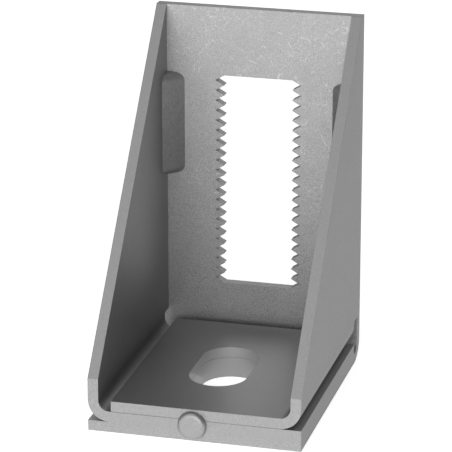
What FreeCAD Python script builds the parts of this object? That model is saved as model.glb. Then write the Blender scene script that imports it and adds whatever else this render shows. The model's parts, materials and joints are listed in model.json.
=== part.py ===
import FreeCAD, Part
import Sketcher
import enum
import math
import os
import sys

# Reinforced angle bracket, welded up from three bent sheets.
# An L-shaped plate makes the back and the bottom of the base. Each gusset is a plate of its own with a flange
# bent in along its foot: the left flange lies on the base plate, and the right one on the left flange, so that
# the bolt in the base slot clamps three layers. The back has a window with toothed sides, in which a toothed
# plate can be set at any height. Two short seams tie the gussets to the back, and one weld spot on the front
# edge ties the three layers.
# Millimetres, +Z up. The origin is on the axis of the base slot, in the underside of the base.
# The back stands at +Y, and the gussets rise at -X (left) and +X (right).

document = FreeCAD.newDocument("reinforced_angle_bracket")

SIZES = {
    # the whole bracket
    "width": 60.0,
    "depth": 73.6,
    "height": 103.0,
    "sheet": 3.0,
    "bend_radius": 3.0,
    # gussets and their flanges
    "nose_height": 15.15,
    "seam_gap": 0.08,
    "rear_clearance": 1.1,
    "flange_clearance": 0.56,
    "left_notch_rise": 1.5,
    "right_notch_rise": 1.0,
    # slot in the base
    "slot_width": 16.5,
    "slot_length": 30.0,
    "slot_setback": 33.0,
    # toothed window in the back
    "window_width": 20.0,
    "window_bottom": 20.0,
    "tooth_pitch": 3.0,
    "tooth_depth": 2.6,
    "tooth_count": 21,
    # seams in the two upright corners
    "seam_leg": 5.2,
    "seam_length": 30.3,
    "seam_bottom": 52.8,
    "seam_corner": 2.4,
    "seam_end": 2.2,
    # weld spot on the front edge
    "spot_diameter": 8.1,
    "spot_height": 1.5,
    "spot_edge": 1.4,
    "spot_offset": 0.4,
}

sheet_of_sizes = document.addObject("Spreadsheet::Sheet", "Sizes")
for row, (name, value) in enumerate(SIZES.items(), start=1):
    sheet_of_sizes.set(f"A{row}", name)
    sheet_of_sizes.set(f"B{row}", str(value))
    sheet_of_sizes.setAlias(f"B{row}", name)
document.recompute()


class Size:
    """A size in millimetres, together with its formula in terms of the sheet's cells."""

    def __init__(self, value, formula):
        self.value = value
        self.formula = formula

    @staticmethod
    def of(other):
        return other if isinstance(other, Size) else Size(other, str(other))

    def __add__(self, other):
        other = Size.of(other)
        return Size(self.value + other.value, f"({self.formula} + {other.formula})")

    def __sub__(self, other):
        other = Size.of(other)
        return Size(self.value - other.value, f"({self.formula} - {other.formula})")

    def __mul__(self, other):
        other = Size.of(other)
        return Size(self.value * other.value, f"({self.formula} * {other.formula})")

    def __truediv__(self, other):
        other = Size.of(other)
        return Size(self.value / other.value, f"({self.formula} / {other.formula})")

    def __neg__(self):
        return Size(-self.value, f"-({self.formula})")


def size(name):
    return Size(SIZES[name], f"Sizes.{name}")


ZERO = Size(0, "0")

half_width = size("width") / 2
sheet = size("sheet")
bend_radius = size("bend_radius")
outer_bend = bend_radius + sheet

# Distances back from the front edge, in every piece's own frame.
back_outer = size("depth")
back_inner = back_outer - sheet
flange_rear = back_inner - bend_radius - size("rear_clearance")

# Heights of the three layers of the base.
left_flange_foot = sheet
right_flange_foot = left_flange_foot + sheet + size("seam_gap")
stack_top = right_flange_foot + sheet

window_half = size("window_width") / 2
window_bottom = size("window_bottom")
half_pitch = size("tooth_pitch") / 2
window_top = window_bottom + size("tooth_pitch") * size("tooth_count")


class Ref(enum.IntEnum):
    """How sketch constraints number a sketch's own axes and the points of a line or arc.

    A sketch's origin is the start of its X axis.
    """

    AXIS_X = -1
    AXIS_Y = -2
    START = 1
    END = 2
    CENTRE = 3


HALF_TURN = 180
SEAM_TURN = 45
UP = FreeCAD.Vector(0, 0, 1)

# Two points of a piece closer than this are the same point.
SAME_PLACE = 0.001


def new_body(label):
    """Start a piece whose own frame has its origin at the middle of the base's front edge."""
    body = document.addObject("PartDesign::Body", label)
    body.Label = label
    place(body, ZERO, ZERO, ZERO)
    return body


def place(body, x, y, z):
    """Set a piece's frame at a point given from the middle of the front edge."""
    body.setExpression("Placement.Base.x", x.formula)
    body.setExpression("Placement.Base.y", (y - size("slot_setback")).formula)
    body.setExpression("Placement.Base.z", z.formula)


def origin_feature(body, role):
    return next(feature for feature in body.Origin.OriginFeatures if feature.Role == role)


def new_sketch(body, plane, name):
    sketch = body.newObject("Sketcher::SketchObject", name)
    sketch.AttachmentSupport = (origin_feature(body, plane), [""])
    sketch.MapMode = "FlatFace"
    return sketch


def bind(sketch, constraint, name, formula):
    """Add a dimension to a sketch and tie it to the sheet."""
    index = sketch.addConstraint(constraint)
    sketch.renameConstraint(index, name)
    sketch.setExpression(f"Constraints.{name}", formula)


def pin(sketch, geometry, point, axis, distance, name):
    """Hold one coordinate of a sketch point at a signed distance from the sketch's origin."""
    if distance.value == 0:
        other_axis = Ref.AXIS_Y if axis == "DistanceX" else Ref.AXIS_X
        sketch.addConstraint(Sketcher.Constraint("PointOnObject", geometry, point, other_axis))
    elif distance.value > 0:
        dimension = Sketcher.Constraint(axis, Ref.AXIS_X, Ref.START, geometry, point, distance.value)
        bind(sketch, dimension, name, distance.formula)
    else:
        dimension = Sketcher.Constraint(axis, geometry, point, Ref.AXIS_X, Ref.START, -distance.value)
        bind(sketch, dimension, name, (-distance).formula)


def draw_outline(sketch, corners):
    """Draw a closed outline of straight lines through corners given as pairs of sizes."""
    first = sketch.GeometryCount
    points = [FreeCAD.Vector(x.value, y.value, 0) for x, y in corners]
    for start, end in zip(points, points[1:] + points[:1]):
        sketch.addGeometry(Part.LineSegment(start, end), False)
    for index, (x, y) in enumerate(corners):
        line = first + index
        following = first + (index + 1) % len(corners)
        sketch.addConstraint(Sketcher.Constraint("Coincident", line, Ref.END, following, Ref.START))
        pin(sketch, line, Ref.START, "DistanceX", x, f"across_{line}")
        pin(sketch, line, Ref.START, "DistanceY", y, f"along_{line}")


def draw_corner(sketch, x, y, side, level, radius):
    """Draw what rounding takes off a corner that points to the given side and level, each 1 or -1."""
    near_x = x - radius * side
    near_y = y - radius * level
    tip = FreeCAD.Vector(x.value, y.value, 0)
    along_x = FreeCAD.Vector(near_x.value, y.value, 0)
    along_y = FreeCAD.Vector(x.value, near_y.value, 0)
    centre = FreeCAD.Vector(near_x.value, near_y.value, 0)
    bulge = centre + (tip - centre).normalize() * radius.value

    # An arc runs anticlockwise, so the corner's side and level settle which of its ends comes first.
    starts_along_y = side * level > 0
    first, last = (along_y, along_x) if starts_along_y else (along_x, along_y)
    x_end, y_end = (Ref.END, Ref.START) if starts_along_y else (Ref.START, Ref.END)
    line = sketch.addGeometry(Part.LineSegment(along_x, tip), False)
    second = sketch.addGeometry(Part.LineSegment(tip, along_y), False)
    arc = sketch.addGeometry(Part.Arc(first, bulge, last), False)
    sketch.addConstraint(Sketcher.Constraint("Coincident", line, Ref.END, second, Ref.START))
    sketch.addConstraint(Sketcher.Constraint("Coincident", line, Ref.START, arc, x_end))
    sketch.addConstraint(Sketcher.Constraint("Coincident", second, Ref.END, arc, y_end))
    pin(sketch, line, Ref.START, "DistanceX", near_x, f"near_across_{line}")
    pin(sketch, line, Ref.START, "DistanceY", y, f"near_along_{line}")
    pin(sketch, line, Ref.END, "DistanceX", x, f"across_{line}")
    pin(sketch, line, Ref.END, "DistanceY", y, f"along_{line}")
    pin(sketch, second, Ref.END, "DistanceX", x, f"far_across_{line}")
    pin(sketch, second, Ref.END, "DistanceY", near_y, f"far_along_{line}")
    bind(sketch, Sketcher.Constraint("Radius", arc, radius.value), f"radius_{line}", radius.formula)


def draw_slot(sketch, middle, width, length):
    """Draw a slot with round ends, its long side along the sketch's Y axis."""
    radius = width / 2
    reach = (length - width) / 2
    low = middle - reach
    high = middle + reach
    bottom_circle = Part.Circle(FreeCAD.Vector(0, low.value, 0), UP, radius.value)
    top_circle = Part.Circle(FreeCAD.Vector(0, high.value, 0), UP, radius.value)
    sketch.addGeometry(Part.ArcOfCircle(bottom_circle, math.pi, 2 * math.pi), False)
    sketch.addGeometry(Part.ArcOfCircle(top_circle, 0, math.pi), False)
    for side in (1, -1):
        start = FreeCAD.Vector(side * radius.value, low.value, 0)
        end = FreeCAD.Vector(side * radius.value, high.value, 0)
        sketch.addGeometry(Part.LineSegment(start, end), False)
    bottom, top, right, left = range(4)
    sketch.addConstraint(Sketcher.Constraint("Tangent", bottom, Ref.END, right, Ref.START))
    sketch.addConstraint(Sketcher.Constraint("Tangent", right, Ref.END, top, Ref.START))
    sketch.addConstraint(Sketcher.Constraint("Tangent", top, Ref.END, left, Ref.END))
    sketch.addConstraint(Sketcher.Constraint("Tangent", left, Ref.START, bottom, Ref.START))
    sketch.addConstraint(Sketcher.Constraint("Equal", bottom, top))
    pin(sketch, bottom, Ref.CENTRE, "DistanceX", ZERO, "low_across")
    pin(sketch, top, Ref.CENTRE, "DistanceX", ZERO, "high_across")
    pin(sketch, bottom, Ref.CENTRE, "DistanceY", low, "low_along")
    pin(sketch, top, Ref.CENTRE, "DistanceY", high, "high_along")
    bind(sketch, Sketcher.Constraint("Radius", bottom, radius.value), "end_radius", radius.formula)


def pad(body, sketch, name, length, middle=False, reversed_way=False):
    feature = body.newObject("PartDesign::Pad", name)
    feature.Profile = sketch
    feature.Midplane = middle
    feature.Reversed = reversed_way
    feature.setExpression("Length", length.formula)
    document.recompute()
    return feature


def cut_through(body, sketch, name):
    """Cut a sketch right through the piece, both ways from the sketch's plane."""
    feature = body.newObject("PartDesign::Pocket", name)
    feature.Profile = sketch
    feature.Type = "ThroughAll"
    feature.Midplane = True
    document.recompute()
    return feature


def edges_at(feature, middles):
    """Name the edges whose middles lie at the given points of the piece's own frame."""
    names = []
    for index, edge in enumerate(feature.Shape.Edges, start=1):
        if any(edge.CenterOfMass.distanceToPoint(middle) < SAME_PLACE for middle in middles):
            names.append(f"Edge{index}")
    return names


def round_edges(body, feature, name, edge_names, radius):
    rounding = body.newObject("PartDesign::Fillet", name)
    rounding.Base = (feature, edge_names)
    rounding.setExpression("Radius", radius.formula)
    document.recompute()
    return rounding


def point(x, y, z):
    return FreeCAD.Vector(x.value, y.value, z.value)


def cut_base_slot(body):
    sketch = new_sketch(body, "XY_Plane", "slot_outline")
    draw_slot(sketch, size("slot_setback"), size("slot_width"), size("slot_length"))
    return cut_through(body, sketch, "base_slot")


def make_angle_plate():
    """Back and base plate: one sheet bent up at the rear, with the slot and the toothed window."""
    body = new_body("angle_plate")

    profile = new_sketch(body, "YZ_Plane", "side_profile")
    draw_outline(profile, [
        (ZERO, ZERO),
        (back_outer, ZERO),
        (back_outer, size("height")),
        (back_inner, size("height")),
        (back_inner, sheet),
        (ZERO, sheet),
    ])
    plate = pad(body, profile, "plate", size("width"), middle=True)
    inner_edge = edges_at(plate, [point(ZERO, back_inner, sheet)])
    inside = round_edges(body, plate, "inside_bend", inner_edge, bend_radius)
    outer_edge = edges_at(inside, [point(ZERO, back_outer, ZERO)])
    round_edges(body, inside, "outside_bend", outer_edge, outer_bend)

    cut_base_slot(body)

    opening = new_sketch(body, "XZ_Plane", "window_outline")
    draw_outline(opening, [
        (-window_half, window_bottom),
        (window_half, window_bottom),
        (window_half, window_top),
        (-window_half, window_top),
    ])
    cut_through(body, opening, "window")

    # Each gap between two teeth is the outer half of a diamond whose inner half lies in the open window.
    gap = new_sketch(body, "XZ_Plane", "tooth_gap_outline")
    gap_middle = window_bottom + half_pitch
    for edge in (-window_half, window_half):
        draw_outline(gap, [
            (edge - size("tooth_depth"), gap_middle),
            (edge, gap_middle - half_pitch),
            (edge + size("tooth_depth"), gap_middle),
            (edge, gap_middle + half_pitch),
        ])
    first_gap = cut_through(body, gap, "tooth_gap")
    teeth = body.newObject("PartDesign::LinearPattern", "teeth")
    teeth.Originals = [first_gap]
    teeth.Direction = (origin_feature(body, "Z_Axis"), [""])
    teeth.setExpression("Length", ((size("tooth_count") - 1) * size("tooth_pitch")).formula)
    teeth.setExpression("Occurrences", size("tooth_count").formula)
    body.Tip = teeth
    document.recompute()
    return body


def make_gusset(label, side, foot, flange_end, notch_rise):
    """Gusset with its flange bent in along the foot. side is -1 for the left one and 1 for the right one."""
    body = new_body(label)
    outer = half_width * side
    inner = (half_width - sheet) * side

    profile = new_sketch(body, "XZ_Plane", "front_profile")
    draw_outline(profile, [
        (outer, foot),
        (flange_end, foot),
        (flange_end, foot + sheet),
        (inner, foot + sheet),
        (inner, size("height")),
        (outer, size("height")),
    ])
    plate = pad(body, profile, "plate", back_inner, reversed_way=True)
    middle = back_inner / 2
    inner_edge = edges_at(plate, [point(inner, middle, foot + sheet)])
    inside = round_edges(body, plate, "inside_bend", inner_edge, bend_radius)
    outer_edge = edges_at(inside, [point(outer, middle, foot)])
    round_edges(body, inside, "outside_bend", outer_edge, outer_bend)

    # The upper corner falls away in a straight slope, and a notch behind the flange clears the base's bend.
    trim = new_sketch(body, "YZ_Plane", "side_trim")
    notch_top = foot + outer_bend + notch_rise
    draw_outline(trim, [
        (ZERO, size("nose_height")),
        (back_inner, size("height")),
        (ZERO, size("height")),
    ])
    draw_outline(trim, [
        (flange_rear, ZERO),
        (back_outer, ZERO),
        (back_outer, notch_top),
        (flange_rear, notch_top),
    ])
    cut_through(body, trim, "slope_and_notch")
    cut_base_slot(body)
    return body


def make_corner_seam(label, side):
    """Weld seam in an upright corner: a three-cornered bar with rounded ends, its broad face to the room."""
    body = new_body(label)
    place(body, (half_width - sheet) * side, back_inner, size("seam_bottom"))
    body.Placement.Rotation = FreeCAD.Rotation(UP, HALF_TURN - SEAM_TURN * side)
    reach = size("seam_leg") * math.sin(math.radians(SEAM_TURN))
    length = size("seam_length")

    section = new_sketch(body, "XY_Plane", "section")
    draw_outline(section, [
        (ZERO, ZERO),
        (reach, reach),
        (-reach, reach),
    ])
    pad(body, section, "bar", length)

    front = new_sketch(body, "XZ_Plane", "front_corners")
    for across in (1, -1):
        draw_corner(front, reach * across, length, across, 1, size("seam_corner"))
        draw_corner(front, reach * across, ZERO, across, -1, size("seam_corner"))
    cut_through(body, front, "round_corners")

    ends = new_sketch(body, "YZ_Plane", "end_corners")
    draw_corner(ends, reach, length, 1, 1, size("seam_end"))
    draw_corner(ends, reach, ZERO, 1, -1, size("seam_end"))
    cut_through(body, ends, "round_ends")
    return body


def make_weld_spot():
    """Flat-topped weld spot that bridges the front edges of the three layers."""
    body = new_body("front_weld_spot")
    place(body, -size("spot_offset"), ZERO, stack_top / 2)

    outline = new_sketch(body, "XZ_Plane", "spot_outline")
    radius = size("spot_diameter") / 2
    circle = outline.addGeometry(Part.Circle(FreeCAD.Vector(0, 0, 0), UP, radius.value), False)
    outline.addConstraint(Sketcher.Constraint("Coincident", circle, Ref.CENTRE, Ref.AXIS_X, Ref.START))
    bind(outline, Sketcher.Constraint("Radius", circle, radius.value), "spot_radius", radius.formula)
    disc = pad(body, outline, "disc", size("spot_height"))
    rim = edges_at(disc, [point(ZERO, -size("spot_height"), ZERO)])
    round_edges(body, disc, "rim", rim, size("spot_edge"))
    return body


left_inner_bend = -(half_width - sheet - bend_radius)
pieces = [
    make_angle_plate(),
    make_gusset("left_gusset", -1, left_flange_foot, half_width, size("left_notch_rise")),
    make_gusset("right_gusset", 1, right_flange_foot, left_inner_bend + size("flange_clearance"),
                size("right_notch_rise")),
    make_corner_seam("left_corner_seam", -1),
    make_corner_seam("right_corner_seam", 1),
    make_weld_spot(),
]
document.recompute()

for item in document.Objects:
    if "Invalid" in item.State or "Error" in item.State:
        sys.exit(f"{item.Name} failed: {item.State}")
for piece in pieces:
    if piece.Shape.isNull() or not piece.Shape.isValid():
        sys.exit(f"{piece.Label} has no valid shape")
    if len(piece.Shape.Solids) != 1:
        sys.exit(f"{piece.Label} has {len(piece.Shape.Solids)} solids")

os.makedirs("parts", exist_ok=True)
for piece in pieces:
    piece.Shape.exportStep(f"parts/{piece.Label}.step")
    print(f"{piece.Label}: {piece.Shape.Volume:.1f} mm3")
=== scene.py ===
import json
import math

import bpy
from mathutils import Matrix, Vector


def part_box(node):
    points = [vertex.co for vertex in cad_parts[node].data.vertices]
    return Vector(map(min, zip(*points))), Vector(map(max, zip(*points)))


# The bracket in zinc-coated steel on a white floor. Lengths are in metres where nothing else is said.
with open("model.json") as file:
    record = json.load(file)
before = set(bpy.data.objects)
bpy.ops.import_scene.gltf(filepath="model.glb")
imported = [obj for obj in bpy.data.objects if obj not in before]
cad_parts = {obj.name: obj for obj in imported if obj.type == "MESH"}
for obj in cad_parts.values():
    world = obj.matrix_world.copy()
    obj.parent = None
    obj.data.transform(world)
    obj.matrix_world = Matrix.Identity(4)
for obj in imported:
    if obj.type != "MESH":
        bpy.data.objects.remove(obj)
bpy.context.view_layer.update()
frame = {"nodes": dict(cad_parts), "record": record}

MILLIMETRE = 0.001

# The seams lie against the inner face of the back, which gives its distance along Y.
BACK_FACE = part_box("left_corner_seam")[1].y

# The first mount is the slot in the base: its radius, and half the distance between its centres, in metres.
SLOT_DIMS = frame["record"]["mounts"][0]["dims"]
SLOT_RADIUS = SLOT_DIMS["hole_r_mm"] * MILLIMETRE
SLOT_REACH = SLOT_DIMS["slot_length_mm"] / 2 * MILLIMETRE - SLOT_RADIUS

# The camera that matches the photograph: place in metres, angles in degrees, lens and sensor in millimetres.
CAMERA_PLACE = (0.190386, -0.720595, 0.305757)
CAMERA_TILT = 71.1174
CAMERA_TURN = 14.7689
CAMERA_LENS = 226.67
CAMERA_SENSOR = 36.0

# Soft lamps round the bracket, at one distance from its middle, in metres.
# Azimuth 0 is in front, 90 on the right. Both angles are in degrees, and the power is in watts.
LAMP_DISTANCE = 1.2
LAMP_WIDTH = 0.7
LAMP_AIM = (0.0, 0.0, 0.045)
LAMPS = {
    "front": {"azimuth": 0, "elevation": 8, "power": 4.6},
    "front_high": {"azimuth": 0, "elevation": 50, "power": 0.75},
    "front_top": {"azimuth": 0, "elevation": 70, "power": 1.0},
    "front_right": {"azimuth": 20, "elevation": 10, "power": 2.3},
    "front_right_high": {"azimuth": 20, "elevation": 30, "power": 0.6},
    "front_left": {"azimuth": -40, "elevation": 10, "power": 2.15},
    "front_left_high": {"azimuth": -40, "elevation": 45, "power": 1.75},
    "right_high": {"azimuth": 90, "elevation": 50, "power": 0.4},
    "rear": {"azimuth": 180, "elevation": 15, "power": 1.4},
    "rear_high": {"azimuth": 180, "elevation": 30, "power": 1.1},
    "rear_left": {"azimuth": -150, "elevation": 25, "power": 1.1},
    "rear_right": {"azimuth": 150, "elevation": 25, "power": 0.65},
}

# Strength of the even light from all sides.
ROOM_LIGHT = 0.005

# The floor's width, the level of its paint, and its glow, which only the camera and reflections see.
FLOOR_SIZE = 8.0
FLOOR_COLOUR = 0.92
FLOOR_GLOW = 0.75
# Between these distances from the bracket, the glow that the camera sees rises to white.
FLOOR_FAR = (0.5, 1.5)

# The steel without its mottle: its level of grey, its share of metal and its roughness.
STEEL_LEVEL = 0.40
STEEL_METAL = 0.9
STEEL_ROUGHNESS = 0.5
# At a glancing angle zinc reflects less than an ideal metal of the same level.
STEEL_EDGE_TINT = 0.5

# Sharp edges are shaded as if they were rounded by this radius.
EDGE_RADIUS = 0.08 * MILLIMETRE
EDGE_SAMPLES = 4

# What the slot's cut wall adds to the sheet's shade, which is painted light that brightens the wall in place
# of light falling on it, and to its roughness, and the thin smooth film on it, which mirrors the floor at a
# glancing angle.
# The wall's mask reaches a little past the slot's radius.
CUT_WALL_PAINTED_LIGHT = 0.2
CUT_WALL_ROUGHNESS = 0.25
CUT_WALL_FILM = 0.4
FILM_ROUGHNESS = 0.12
CUT_WALL_MARGIN = 0.04 * MILLIMETRE

# The mottle's shade has this share of its strength up to the first height, and all of it from the second on.
BASE_MOTTLE = 0.6
BASE_HEIGHT = (3.0 * MILLIMETRE, 8.0 * MILLIMETRE)

# Flecks, scuffs and scratches start at the first height and reach their full strength at the second.
WEAR_HEIGHT = (20.0 * MILLIMETRE, 60.0 * MILLIMETRE)

# A noise keeps round its middle, and nearly always within its spread.
NOISE_MIDDLE = 0.5
NOISE_SPREAD = (0.3, 0.7)

# The grain's width, and its turn in radians. Unturned, it would fade where a flat face lies along its cells.
GRAIN = 0.18 * MILLIMETRE
GRAIN_TURN = (0.5, 0.3, 0.7)

# The grain comes in patches, whose strength lies between two limits and follows a noise of the given width.
# The range is that of the noise.
GRAIN_AREA = 9.0 * MILLIMETRE
GRAIN_AREA_RANGE = (0.35, 0.65)
GRAIN_PATCHES = (0.75, 1.25)

# Between these heights the grain fades from the first strength to the second.
GRAIN_HEIGHT = (15.0 * MILLIMETRE, 100.0 * MILLIMETRE)
GRAIN_FADE = (1.15, 0.65)

# The width of the clouds, and that of the flecks with the areas they keep to.
# Each range goes from the noise at which a fleck or an area starts to that at which it is full.
CLOUD = 5.0 * MILLIMETRE
FLECK = 0.45 * MILLIMETRE
FLECK_RANGE = (0.60, 0.72)
FLECK_AREA = 7.0 * MILLIMETRE
FLECK_AREA_RANGE = (0.38, 0.65)

# Scuffs: thin curved lines along the borders of bent cells, broken up into strokes by a noise.
SCUFF_CELL = 3.2 * MILLIMETRE
SCUFF_WIDTH = 0.16 * MILLIMETRE
SCUFF_BEND = 2.5 * MILLIMETRE
SCUFF_STROKE = 1.8 * MILLIMETRE
SCUFF_STROKE_RANGE = (0.50, 0.62)

# How much each one changes the steel's level, its roughness or its relief, at a mottle of 1.
GRAIN_SHADE = 0.9
CLOUD_SHADE = 0.04
FLECK_SHADE = 0.5
SCUFF_SHADE = 0.55
GRAIN_ROUGHNESS = 0.10
GRAIN_RELIEF = 0.3
RELIEF_HEIGHT = 0.02 * MILLIMETRE

# Scratches on the inner face of the back. Each has its two ends, across and up in millimetres, as in the
# photograph.
SCRATCH_WIDTH = 0.22 * MILLIMETRE
SCRATCH_STRENGTH = 0.75
SCRATCHES = [
    ((18.3, 94.6), (19.3, 93.7)),
    ((-2.6, 88.0), (-0.5, 87.3)),
    ((8.7, 94.1), (9.7, 92.5)),
    ((3.8, 88.3), (4.3, 87.1)),
    ((15.7, 85.8), (16.5, 86.2)),
    ((5.7, 96.9), (6.9, 96.4)),
    ((18.6, 67.6), (20.1, 64.2)),
    ((18.8, 52.5), (19.0, 51.7)),
    ((-11.0, 93.7), (-10.4, 92.9)),
    ((-12.4, 43.2), (-10.7, 44.5)),
    ((13.9, 70.2), (14.7, 71.4)),
    ((-19.4, 102.4), (-18.4, 102.0)),
    ((12.9, 63.7), (13.6, 63.1)),
]


def add_node(tree, kind, inputs=None, **settings):
    """Add a node, set its options, and set or link its inputs."""
    node = tree.nodes.new(kind)
    for name, value in settings.items():
        setattr(node, name, value)
    for socket, value in (inputs or {}).items():
        if isinstance(value, bpy.types.NodeSocket):
            tree.links.new(value, node.inputs[socket])
        else:
            node.inputs[socket].default_value = value
    return node


def new_tree(name):
    """Start a material with an empty node tree."""
    material = bpy.data.materials.new(name)
    material.use_nodes = True
    material.node_tree.nodes.clear()
    return material, material.node_tree


def noise(tree, place, width):
    """Noise whose patches are about the given width, in metres."""
    inputs = {"Vector": place, "Scale": 1.0 / width}
    return add_node(tree, "ShaderNodeTexNoise", inputs).outputs["Fac"]


def remap(tree, value, low, high, to_low, to_high):
    """Bring a value from one range to another, without going past its ends."""
    inputs = {"Value": value, "From Min": low, "From Max": high, "To Min": to_low, "To Max": to_high}
    return add_node(tree, "ShaderNodeMapRange", inputs).outputs["Result"]


def centred_noise(tree, place, width):
    """Noise from -0.5 to 0.5."""
    return remap(tree, noise(tree, place, width), *NOISE_SPREAD, -0.5, 0.5)


def combine(tree, operation, first, second):
    """Two values taken together by a Math node."""
    node = add_node(tree, "ShaderNodeMath", {0: first, 1: second}, operation=operation)
    return node.outputs["Value"]


def vector_node(tree, operation, first, second):
    """A Vector Math node, whose result is a vector or a value."""
    return add_node(tree, "ShaderNodeVectorMath", {0: first, 1: second}, operation=operation)


def gap_to_line(tree, place, first, second):
    """Distance from a place to the straight line between two points."""
    run = second - first
    offset = vector_node(tree, "SUBTRACT", place, first).outputs["Vector"]
    along = vector_node(tree, "DOT_PRODUCT", offset, run).outputs["Value"]
    inputs = {0: along, 1: 1.0 / run.length_squared}
    share = add_node(tree, "ShaderNodeMath", inputs, operation="MULTIPLY", use_clamp=True).outputs["Value"]
    inputs = {0: run, "Scale": share}
    nearest = add_node(tree, "ShaderNodeVectorMath", inputs, operation="SCALE").outputs["Vector"]
    return vector_node(tree, "DISTANCE", offset, nearest).outputs["Value"]


def scratch(tree, place, start, end):
    """How strong a scratch on the back's inner face is at a place: full on its line, 0 beside it."""
    first = Vector((start[0] * MILLIMETRE, BACK_FACE, start[1] * MILLIMETRE))
    second = Vector((end[0] * MILLIMETRE, BACK_FACE, end[1] * MILLIMETRE))
    gap = gap_to_line(tree, place, first, second)
    return remap(tree, gap, 0.0, SCRATCH_WIDTH, SCRATCH_STRENGTH, 0.0)


def scuffs(tree, place):
    """1 on thin curved strokes, 0 beside them."""
    inputs = {"Vector": place, "Scale": 1.0 / SCUFF_CELL}
    bend = add_node(tree, "ShaderNodeTexNoise", inputs).outputs["Color"]
    middle = (NOISE_MIDDLE, NOISE_MIDDLE, NOISE_MIDDLE)
    bend = vector_node(tree, "SUBTRACT", bend, middle).outputs["Vector"]
    shift = vector_node(tree, "MULTIPLY", bend, (SCUFF_BEND, SCUFF_BEND, SCUFF_BEND)).outputs["Vector"]
    bent = vector_node(tree, "ADD", place, shift).outputs["Vector"]

    inputs = {"Vector": bent, "Scale": 1.0 / SCUFF_CELL}
    border = add_node(tree, "ShaderNodeTexVoronoi", inputs, feature="DISTANCE_TO_EDGE").outputs["Distance"]
    line = remap(tree, border, 0.0, SCUFF_WIDTH / SCUFF_CELL, 1.0, 0.0)
    stroke = remap(tree, noise(tree, place, SCUFF_STROKE), *SCUFF_STROKE_RANGE, 0.0, 1.0)
    return combine(tree, "MULTIPLY", line, stroke)


def cut_wall(tree, place):
    """1 on the wall of the base slot, 0 on the faces round it."""
    flat = vector_node(tree, "MULTIPLY", place, (1.0, 1.0, 0.0)).outputs["Vector"]
    gap = gap_to_line(tree, flat, Vector((0.0, -SLOT_REACH, 0.0)), Vector((0.0, SLOT_REACH, 0.0)))
    return combine(tree, "LESS_THAN", gap, SLOT_RADIUS + CUT_WALL_MARGIN)


def zinc_grain(tree, place, height, wall, streak):
    """Fine grain in stronger and weaker patches. The cut wall has none."""
    turned = add_node(tree, "ShaderNodeMapping", {
        "Vector": place,
        "Scale": (1.0, 1.0, 1.0 / streak),
        "Rotation": GRAIN_TURN,
    }).outputs["Vector"]
    grain = centred_noise(tree, turned, GRAIN)
    patches = remap(tree, noise(tree, place, GRAIN_AREA), *GRAIN_AREA_RANGE, *GRAIN_PATCHES)
    grain = combine(tree, "MULTIPLY", grain, patches)
    grain = combine(tree, "MULTIPLY", grain, remap(tree, height, *GRAIN_HEIGHT, *GRAIN_FADE))
    return combine(tree, "MULTIPLY", grain, combine(tree, "SUBTRACT", 1.0, wall))


def bright_marks(tree, place, scuffed):
    """How much brighter the steel is where it has flecks and, on a scuffed piece, scuffs and scratches."""
    area = remap(tree, noise(tree, place, FLECK_AREA), *FLECK_AREA_RANGE, 0.0, 1.0)
    fleck = remap(tree, noise(tree, place, FLECK), *FLECK_RANGE, 0.0, 1.0)
    bright = combine(tree, "MULTIPLY", fleck, combine(tree, "MULTIPLY", area, FLECK_SHADE))
    if not scuffed:
        return bright
    worn = combine(tree, "MULTIPLY", scuffs(tree, place), area)
    for start, end in SCRATCHES:
        worn = combine(tree, "MAXIMUM", worn, scratch(tree, place, start, end))
    return combine(tree, "MAXIMUM", bright, combine(tree, "MULTIPLY", worn, SCUFF_SHADE))


def surface_normal(tree, wall, grain, mottle):
    """The normal with finely rounded edges, save round the cut wall, and with the grain's shallow relief."""
    radius = remap(tree, wall, 0.0, 1.0, EDGE_RADIUS, 0.0)
    edge = add_node(tree, "ShaderNodeBevel", {"Radius": radius}, samples=EDGE_SAMPLES)
    return add_node(tree, "ShaderNodeBump", {
        "Strength": GRAIN_RELIEF * mottle,
        "Distance": RELIEF_HEIGHT,
        "Height": grain,
        "Normal": edge.outputs["Normal"],
    }).outputs["Normal"]


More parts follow.
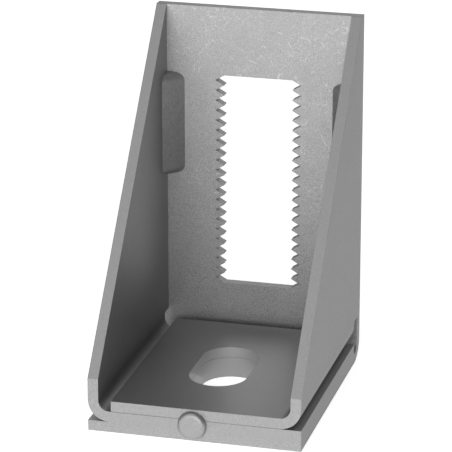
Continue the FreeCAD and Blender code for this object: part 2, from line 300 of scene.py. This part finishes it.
def zinc_material(name, mottle, streak, scuffed=False):
    """Zinc-coated steel.

    The mottle is the strength of its grain, clouds and bright marks. The streak says how many times longer
    the grain is upright than across. A scuffed piece also has the scuffs and the scratches.
    """
    material, tree = new_tree(name)
    place = add_node(tree, "ShaderNodeTexCoord").outputs["Object"]
    height = add_node(tree, "ShaderNodeSeparateXYZ", {"Vector": place}).outputs["Z"]
    wall = cut_wall(tree, place)
    grain = zinc_grain(tree, place, height, wall, streak)
    cloud = centred_noise(tree, place, CLOUD)
    bright = bright_marks(tree, place, scuffed)

    shade = combine(tree, "MULTIPLY", grain, GRAIN_SHADE * mottle)
    shade = combine(tree, "ADD", shade, combine(tree, "MULTIPLY", cloud, CLOUD_SHADE * mottle))
    shade = combine(tree, "MULTIPLY", shade, remap(tree, height, *BASE_HEIGHT, BASE_MOTTLE, 1.0))
    bright = combine(tree, "MULTIPLY", bright, remap(tree, height, *WEAR_HEIGHT, 0.0, mottle))
    shade = combine(tree, "ADD", shade, bright)
    # Painted light: the cut wall's grey is raised to stand in for the light that falls on it.
    shade = combine(tree, "ADD", shade, combine(tree, "MULTIPLY", wall, CUT_WALL_PAINTED_LIGHT))
    level = combine(tree, "MULTIPLY", combine(tree, "ADD", shade, 1.0), STEEL_LEVEL)
    colour = add_node(tree, "ShaderNodeCombineColor", {"Red": level, "Green": level, "Blue": level})

    uneven = combine(tree, "MULTIPLY", grain, GRAIN_ROUGHNESS * mottle)
    roughness = combine(tree, "ADD", uneven, STEEL_ROUGHNESS)
    roughness = combine(tree, "ADD", roughness, combine(tree, "MULTIPLY", wall, CUT_WALL_ROUGHNESS))

    shader = add_node(tree, "ShaderNodeBsdfPrincipled", {
        "Base Color": colour.outputs["Color"],
        "Metallic": STEEL_METAL,
        "Specular Tint": (STEEL_EDGE_TINT, STEEL_EDGE_TINT, STEEL_EDGE_TINT, 1.0),
        "Roughness": roughness,
        "Coat Weight": combine(tree, "MULTIPLY", wall, CUT_WALL_FILM),
        "Coat Roughness": FILM_ROUGHNESS,
        "Normal": surface_normal(tree, wall, grain, mottle),
    })
    add_node(tree, "ShaderNodeOutputMaterial", {"Surface": shader.outputs["BSDF"]})
    return material


def dress(node, material):
    """Give a piece of the frame its material."""
    mesh = frame["nodes"][node].data
    mesh.materials.clear()
    mesh.materials.append(material)


def floor_material():
    """Pale floor that shows white to the camera and in reflections, and keeps the bracket's shadow."""
    material, tree = new_tree("pale_floor")
    ray = add_node(tree, "ShaderNodeLightPath").outputs
    place = add_node(tree, "ShaderNodeTexCoord").outputs["Object"]
    away = vector_node(tree, "DISTANCE", place, (0.0, 0.0, 0.0)).outputs["Value"]
    seen = combine(tree, "MULTIPLY", ray["Is Camera Ray"], remap(tree, away, *FLOOR_FAR, FLOOR_GLOW, 1.0))
    mirrored = combine(tree, "MAXIMUM", ray["Is Glossy Ray"], ray["Is Transmission Ray"])
    mirrored = combine(tree, "MULTIPLY", mirrored, FLOOR_GLOW)
    glow = add_node(tree, "ShaderNodeEmission", {"Strength": combine(tree, "MAXIMUM", seen, mirrored)})
    colour = (FLOOR_COLOUR, FLOOR_COLOUR, FLOOR_COLOUR, 1.0)
    paint = add_node(tree, "ShaderNodeBsdfDiffuse", {"Color": colour})
    both = add_node(tree, "ShaderNodeAddShader", {0: glow.outputs[0], 1: paint.outputs[0]})
    add_node(tree, "ShaderNodeOutputMaterial", {"Surface": both.outputs[0]})
    # The glow isn't a lamp, so it adds no light to matt surfaces.
    material.cycles.emission_sampling = "NONE"
    return material


def add_floor():
    """Add the square floor under the bracket, as staging that isn't part of the object."""
    half = FLOOR_SIZE / 2
    mesh = bpy.data.meshes.new("floor")
    corners = [(-half, -half, 0), (half, -half, 0), (half, half, 0), (-half, half, 0)]
    mesh.from_pydata(corners, [], [(0, 1, 2, 3)])
    mesh.materials.append(floor_material())
    floor = bpy.data.objects.new("floor", mesh)
    bpy.context.scene.collection.objects.link(floor)


def add_lamp(name, azimuth, elevation, power):
    """Add a square soft lamp that faces the bracket."""
    data = bpy.data.lights.new(name, "AREA")
    data.shape = "SQUARE"
    data.size = LAMP_WIDTH
    data.energy = power
    lamp = bpy.data.objects.new(name, data)
    bpy.context.scene.collection.objects.link(lamp)
    around = math.radians(azimuth)
    up = math.radians(elevation)
    away = Vector((math.sin(around) * math.cos(up), -math.cos(around) * math.cos(up), math.sin(up)))
    lamp.location = Vector(LAMP_AIM) + away * LAMP_DISTANCE
    lamp.rotation_euler = away.to_track_quat("Z", "Y").to_euler()


def add_room_light():
    """Add faint white light from all sides."""
    world = bpy.data.worlds.new("room")
    world.use_nodes = True
    world.node_tree.nodes["Background"].inputs["Strength"].default_value = ROOM_LIGHT
    world.node_tree.nodes["Background"].inputs["Color"].default_value = (1.0, 1.0, 1.0, 1.0)
    bpy.context.scene.world = world


def add_camera():
    """Add the camera that sees the bracket as the photograph does."""
    data = bpy.data.cameras.new("camera")
    data.lens = CAMERA_LENS
    data.sensor_width = CAMERA_SENSOR
    camera = bpy.data.objects.new("camera", data)
    camera.location = CAMERA_PLACE
    camera.rotation_euler = (math.radians(CAMERA_TILT), 0.0, math.radians(CAMERA_TURN))
    bpy.context.scene.collection.objects.link(camera)
    bpy.context.scene.camera = camera


plate_zinc = zinc_material("plate_zinc", mottle=1.0, streak=1.0, scuffed=True)
gusset_zinc = zinc_material("gusset_zinc", mottle=0.28, streak=5.0)
weld_zinc = zinc_material("weld_zinc", mottle=0.5, streak=6.0)
spot_zinc = zinc_material("spot_zinc", mottle=0.5, streak=1.0)
dress("angle_plate", plate_zinc)
dress("left_gusset", gusset_zinc)
dress("right_gusset", gusset_zinc)
dress("left_corner_seam", weld_zinc)
dress("right_corner_seam", weld_zinc)
dress("front_weld_spot", spot_zinc)

add_floor()
for lamp_name, lamp in LAMPS.items():
    add_lamp(lamp_name, **lamp)
add_room_light()
add_camera()
bpy.context.scene.view_settings.view_transform = "Standard"
